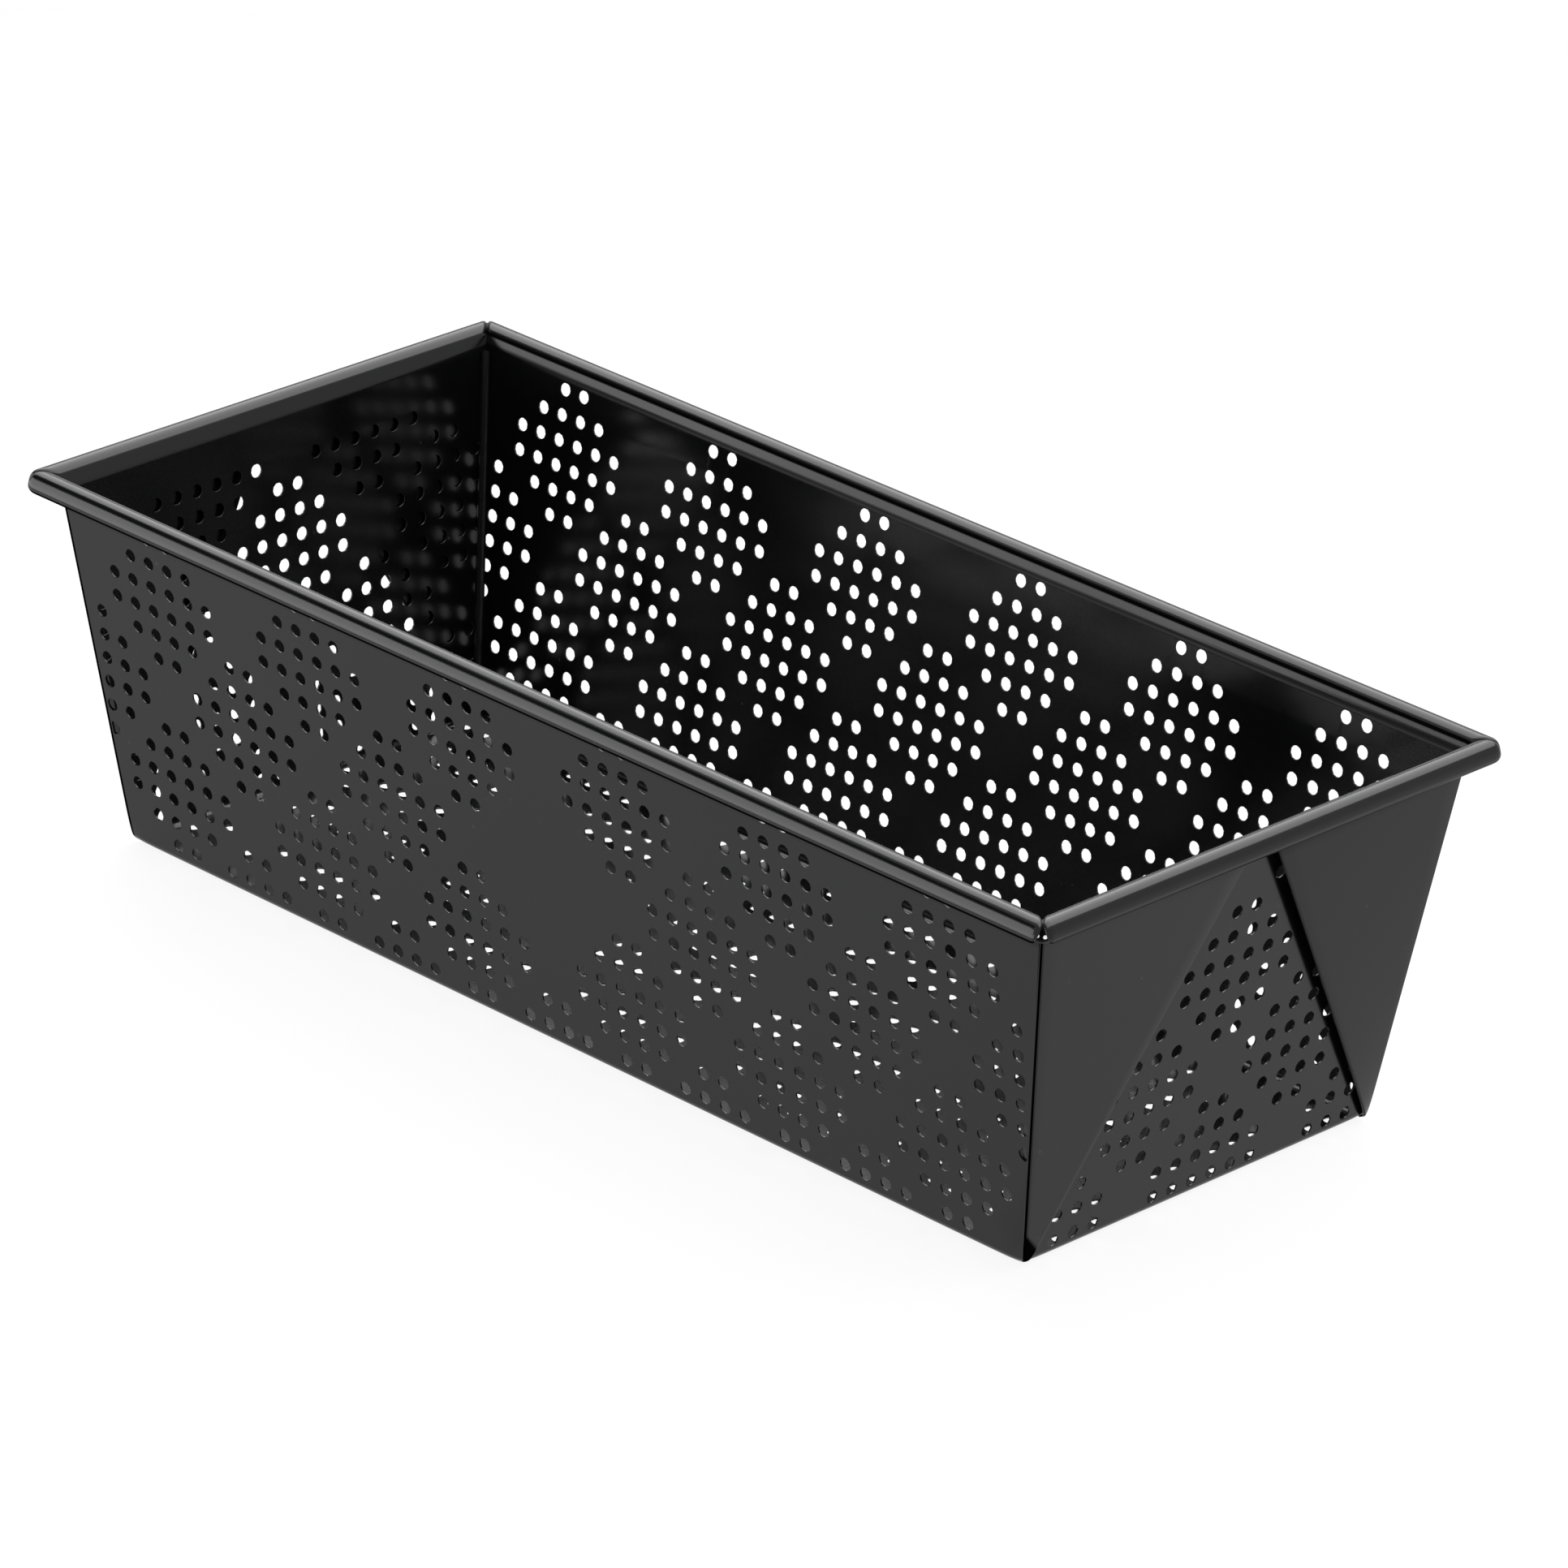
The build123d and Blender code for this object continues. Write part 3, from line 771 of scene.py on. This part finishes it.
def makePleat(name, node, turn, hand, spring=pleats["spring"], power=1, overallShade=0, footShade=0):
    # Profile round the pleat at each height: the upright corner, the outer layer, the full-round fold and
    # the inner layer; its width grows up the wall, and it swings out about the corner line, its free edge
    # by the top's width times the tangent of spring times the share of that width to the power
    # Below the flat wall it follows the bend under the pan and thins out to almost nothing
    foldSlope = np.tan(np.pi / 4 - 2 * np.arctan(leanSin))
    top = wallTop - pan["pleatTopGap"]
    underSteps = np.linspace(1, 0, pleats["underRows"] + 1)[:-1]
    under = bendTangent * (1 - np.sin(underSteps * np.radians(pleats["underTurn"])))
    share = np.linspace(0, 1, pleats["rows"]) ** pleats["rowPower"]
    up = np.concatenate([under, bendTangent + (top - bendTangent) * share])[None, :]
    drop = np.maximum(bendTangent - up, 0)
    recede = bendOuter - np.sqrt(bendOuter ** 2 - drop ** 2)
    thin = np.sqrt(np.maximum(1 - (drop / np.max(drop)) ** 2, pleats["leastThin"] ** 2))
    thick = pleatThick * thin
    corner = halfWidth + up * leanSin - recede
    free = np.minimum(halfWidth - up * foldSlope - pleats["overhang"], corner - pleats["leastWidth"])
    width = corner - free
    lip = pleats["grooveWidth"] * thin
    edge = np.minimum(thick - lip, width * pleats["roundShare"])
    fold = np.minimum(thick / 2, width * pleats["roundShare"])
    groove = np.minimum(pleats["grooveDepth"] * thin, width * pleats["grooveShare"])
    cornerArc = np.linspace(0, np.pi / 2, pleats["cornerSteps"])[:, None]
    foldArc = np.linspace(np.pi / 2, 3 * np.pi / 2, pleats["foldSteps"])[:, None]
    t = np.linspace(0, 1, pleats["flatSteps"])[1:-1, None]
    across = np.concatenate([
        corner - groove,
        corner - groove,
        corner - edge + edge * np.cos(cornerArc),
        (corner - edge) * (1 - t) + (free + fold) * t,
        free + fold + fold * np.cos(foldArc),
        (free + fold) * (1 - t) + corner * t,
    ])
    out = np.concatenate([
        0 * corner,
        lip,
        lip + (thick - lip) * np.sin(cornerArc),
        thick + 0 * corner * t,
        thick / 2 + thick / 2 * np.sin(foldArc) + 0 * corner,
        0 * corner * t,
    ])
    away = (corner - across) * np.cos(np.arctan(leanSin))
    out = out - recede + away * np.tan(np.radians(spring)) * (width / np.max(width)) ** (power - 1)
    grid = placeOnWall(hand * across, up + 0 * across, out, turn)
    # Painted shade: the groove, the pleat's foot and, on the back right pleat, a little over all of it
    paintedShade = np.full(out.shape, float(overallShade))
    paintedShade[:2] = 1  # painted shade in the groove
    foot = np.clip((footShade - up - pleats["footSlope"] * away) / pleats["footBlur"], 0, 1)
    masks = {"paintedShade": np.maximum(paintedShade, foot), "shade": np.full(out.shape, pleats["shade"])}
    faces = rodFaces(*out.shape, hand < 0)
    makePiece(name, node, grid.reshape(-1, 3), faces, masks, pleats["sharpTurn"])


for name, settings in pleats["sides"].items():
    makePleat(name, **settings)
print("pleats made")

# Floor of the room, light and camera

studio = {
    "floorHalf": 6.0,
    "floorDrop": 0.0002,
    "floorColour": (0.03, 0.03, 0.03, 1),
    "floorRough": 0.9,
    "floorGlow": 0.9,
    "flagColour": (0.002, 0.002, 0.002, 1),
    "skyLight": 1.0,
    "lights": {
        "softTop": {
            "place": (-0.35, 0.65, 1.085), "target": (-0.35, 0.65, 0), "size": (2.7, 1.9), "power": 71,
        },
        "lowBed": {
            "place": (-0.55, -0.755, 0.003), "target": (-0.55, -0.755, 1), "size": (1.4, 1.1), "power": 17,
        },
        "lowLeft": {
            "place": (-1.15, -1.35, 0.37), "target": (-0.2, 0, 0.37), "size": (1.6, 0.74), "power": 13,
        },
    },
    "flags": {
        "frontFlag": {
            "place": (-0.84, -0.78, 0.77), "target": (0, 0, 0.08), "size": (1.0, 0.44), "glow": 0,
        },
        "backFlag": {
            "place": (-0.42, 0.4, 0.055), "target": (0, 0, 0.055), "size": (0.7, 0.11), "glow": 0.3,
        },
    },
}


def stageCard(name, corners, colour, rough, glow):
    # One rectangle of the stage, which may glow
    mesh = bpy.data.meshes.new(name)
    mesh.from_pydata(corners, [], [(0, 1, 2, 3)])
    card = bpy.data.objects.new(name, mesh)
    bpy.context.scene.collection.objects.link(card)
    material, tree, shader = newMaterial(name)
    shader.inputs["Base Color"].default_value = colour
    shader.inputs["Roughness"].default_value = rough
    shader.inputs["Emission Color"].default_value = (1, 1, 1, 1)
    shader.inputs["Emission Strength"].default_value = glow
    mesh.materials.append(material)
    return card


def rectangle(halfX, halfY):
    # Its corners round the origin, facing up
    signs = ((-1, -1), (1, -1), (1, 1), (-1, 1))
    return [Vector((x * halfX, y * halfY, 0)) for x, y in signs]


def facing(place, target, axis):
    # The turn that points an axis from the place to the target
    return (Vector(target) - Vector(place)).to_track_quat(axis, "Y")


def makeRoomFloor():
    drop = Vector((0, 0, -studio["floorDrop"]))
    corners = [corner + drop for corner in rectangle(studio["floorHalf"], studio["floorHalf"])]
    stageCard("studioFloor", corners, studio["floorColour"], studio["floorRough"], studio["floorGlow"])


def makeFlag(name, place, target, size, glow):
    # A dark or dim card that only reflections see: it draws the dark parts on the shiny coating
    turn = facing(place, target, "Z")
    corners = [turn @ corner + Vector(place) for corner in rectangle(size[0] / 2, size[1] / 2)]
    flag = stageCard(name, corners, studio["flagColour"], 1.0, glow)
    flag.visible_camera = False


def areaLight(name, place, target, size, power):
    light = bpy.data.lights.new(name, "AREA")
    light.shape = "RECTANGLE"
    light.size, light.size_y = size
    light.energy = power
    lamp = bpy.data.objects.new(name, light)
    bpy.context.scene.collection.objects.link(lamp)
    lamp.location = place
    lamp.rotation_euler = facing(place, target, "-Z").to_euler()
    lamp.visible_camera = False


makeRoomFloor()
for name, settings in studio["flags"].items():
    makeFlag(name, **settings)
for name, settings in studio["lights"].items():
    areaLight(name, **settings)

world = bpy.data.worlds.new("studio")
bpy.context.scene.world = world
world.use_nodes = True
world.node_tree.nodes["Background"].inputs["Color"].default_value = (1, 1, 1, 1)
world.node_tree.nodes["Background"].inputs["Strength"].default_value = studio["skyLight"]
print("stage and lights made")

view = {
    "focalPixels": 12385.19,
    "imagePixels": 1932,
    "sensor": 36.0,  # millimetres
    "azimuth": 44.321,
    "elevation": 24.511,
    "roll": 2.0128,
    "distance": 2.20121,
    "target": (-0.06207, 0.07646, 0.0),
    "clip": (0.1, 50.0),
}


def makeCamera():
    azimuth, elevation, roll = (np.radians(view[key]) for key in ("azimuth", "elevation", "roll"))
    level = np.cos(elevation)
    back = Vector((np.sin(azimuth) * level, -np.cos(azimuth) * level, np.sin(elevation)))
    flatRight = (-back).cross(Vector((0, 0, 1))).normalized()
    flatUp = flatRight.cross(-back)
    right = flatRight * np.cos(roll) + flatUp * np.sin(roll)
    upward = flatUp * np.cos(roll) - flatRight * np.sin(roll)
    data = bpy.data.cameras.new("photoView")
    data.sensor_width = view["sensor"]
    data.lens = view["focalPixels"] / view["imagePixels"] * view["sensor"]
    data.clip_start, data.clip_end = view["clip"]
    camera = bpy.data.objects.new("photoView", data)
    bpy.context.scene.collection.objects.link(camera)
    place = Vector(view["target"]) + back * view["distance"]
    turn = Matrix((right, upward, back)).transposed()
    camera.matrix_world = Matrix.Translation(place) @ turn.to_4x4()
    bpy.context.scene.camera = camera


makeCamera()
bpy.context.scene.view_settings.view_transform = "Standard"

print("scene ready")
